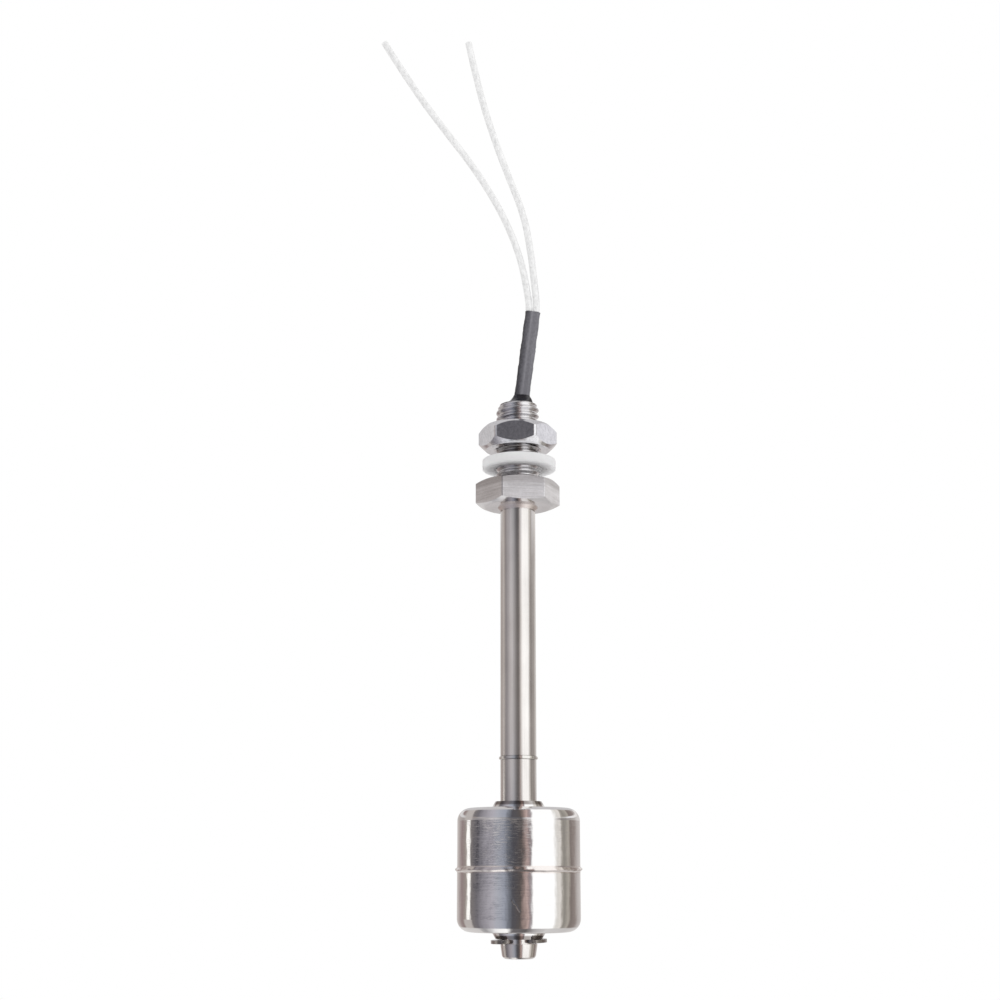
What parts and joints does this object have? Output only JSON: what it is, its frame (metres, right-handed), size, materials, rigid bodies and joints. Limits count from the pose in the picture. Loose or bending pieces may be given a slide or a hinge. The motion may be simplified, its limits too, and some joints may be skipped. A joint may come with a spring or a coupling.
{
  "type": "float level switch",
  "caption": "Slim stainless level switch: a threaded fitting with lock nut and gasket carries a stem, on which a hollow float slides between two stops.",
  "frame": {"origin": "centre of the hex shoulder's upper, sealing face", "axes": "+Z along the stem's axis, up through the threaded neck towards the wires; the pictured front faces -Y"},
  "size_m": [0.0473, 0.028, 0.2182],
  "materials": {
    "stainless_machined": "machined stainless steel, fine turning and milling marks",
    "stainless_drawn": "drawn stainless tube, bright with faint lengthwise lines",
    "spring_steel": "bright spring stainless",
    "float_steel": "polished stainless sheet, near mirror",
    "gasket": "pale grey moulded sealing ring, satin",
    "potting": "black cast resin, glossy",
    "wire": "pale grey-white insulation, smooth",
    "sleeve": "dark grey shrunk sleeve, slightly shiny",
    "reed_glass": "clear greenish glass",
    "reed_metal": "nickel-iron, plain",
    "inner_lead": "insulated inner lead",
    "inner_plastic": "natural nylon",
    "magnet": "dark sintered ferrite"
  },
  "bodies": {
    "stem_and_fitting": {"threaded_fitting": "stainless_machined", "stem_tube": "stainless_drawn", "stem_weld": "stainless_drawn", "stem_end_plug": "stainless_drawn", "upper_stop_ring": "spring_steel", "lower_stop_clip": "spring_steel", "gasket": "gasket", "potting_plug": "potting", "wire_left": "wire", "wire_right": "wire", "heat_shrink_sleeve": "sleeve", "reed_glass": "reed_glass", "reed_blade_upper": "reed_metal", "reed_blade_lower": "reed_metal", "reed_insulation": "inner_plastic", "lead_upper": "inner_lead", "lead_lower": "inner_lead", "splice_tube_upper": "inner_plastic", "splice_tube_lower": "inner_plastic"},
    "magnet_carrier": {"ring_magnet": "magnet", "magnet_holder": "inner_plastic", "magnet_retainer": "inner_plastic"},
    "float": {"float_upper_shell": "float_steel", "float_lower_shell": "float_steel", "float_seam_weld": "float_steel", "float_centre_tube": "float_steel"},
    "lock_nut": {"lock_nut": "stainless_machined"}
  },
  "joints": [
    {"name": "float_lift", "type": "slide", "parent": "stem_and_fitting", "child": "magnet_carrier", "axis": [0, 0, 1], "range_m": [0, 0.009]},
    {"name": "float_spin", "type": "hinge", "parent": "magnet_carrier", "child": "float", "pos_m": [0, 0, -0.08705], "axis": [0, 0, 1], "continuous": true},
    {"name": "lock_nut_turn", "type": "hinge", "parent": "stem_and_fitting", "child": "lock_nut", "pos_m": [0, 0, 0.0105], "axis": [0, 0, 1], "continuous": true}
  ]
}
